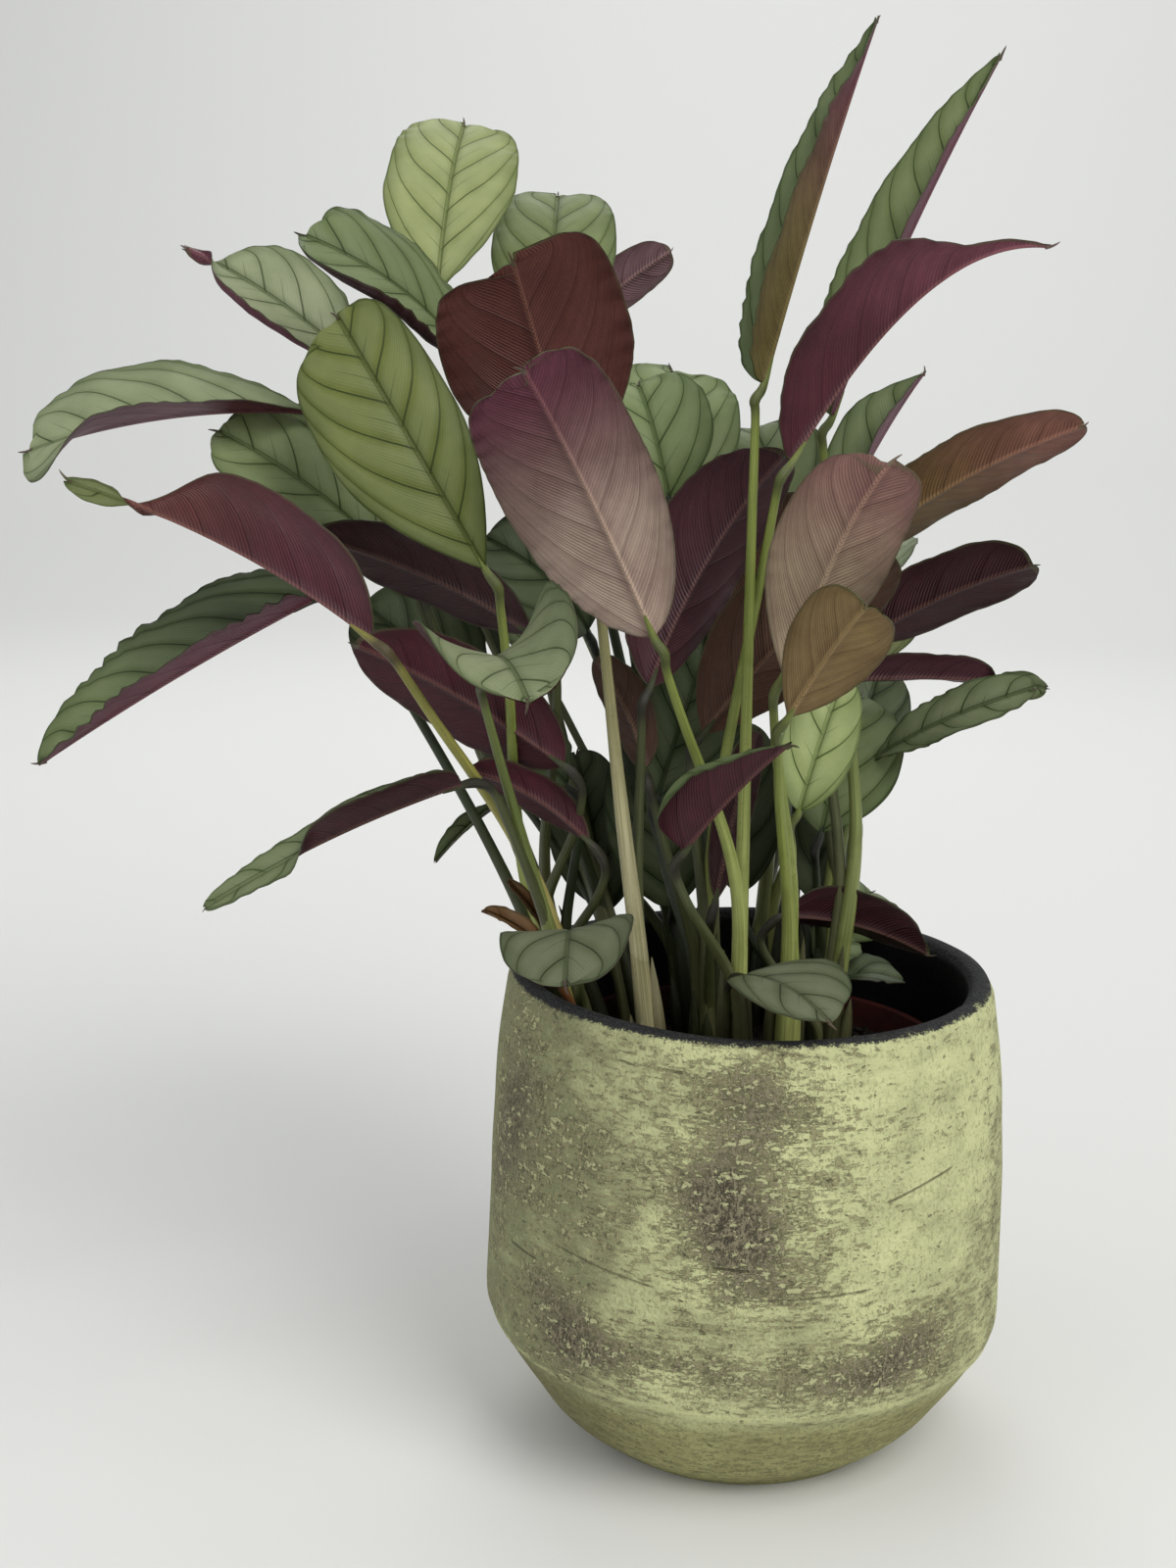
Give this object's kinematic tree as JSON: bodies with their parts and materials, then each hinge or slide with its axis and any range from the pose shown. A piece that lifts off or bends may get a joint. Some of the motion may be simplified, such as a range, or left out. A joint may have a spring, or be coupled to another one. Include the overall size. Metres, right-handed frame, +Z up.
{
  "type": "potted plant",
  "caption": "Leafy ctenanthe growing in a nursery pot that stands inside a rounded clay pot with a worn green finish.",
  "frame": {"origin": "centre of the pot's flat underside", "axes": "+Z up, +X to the right and +Y to the back as the picture shows the plant"},
  "size_m": [0.3468, 0.3143, 0.4942],
  "materials": {
    "clay": "matt, worn moss-green coat over dark clay",
    "terracotta_plastic": "matt",
    "potting_soil": "crumbly",
    "foliage": "satin leaf, grey-green above and wine-purple below"
  },
  "bodies": {
    "root": {"pot": "clay", "grow_pot": "terracotta_plastic", "soil": "potting_soil", "shoot_01": "foliage", "shoot_02": "foliage", "shoot_03": "foliage", "shoot_04": "foliage", "shoot_05": "foliage", "shoot_06": "foliage", "shoot_07": "foliage", "shoot_08": "foliage", "shoot_09": "foliage", "shoot_10": "foliage", "shoot_11": "foliage", "shoot_12": "foliage", "shoot_13": "foliage", "shoot_14": "foliage", "shoot_15": "foliage"}
  },
  "joints": []
}
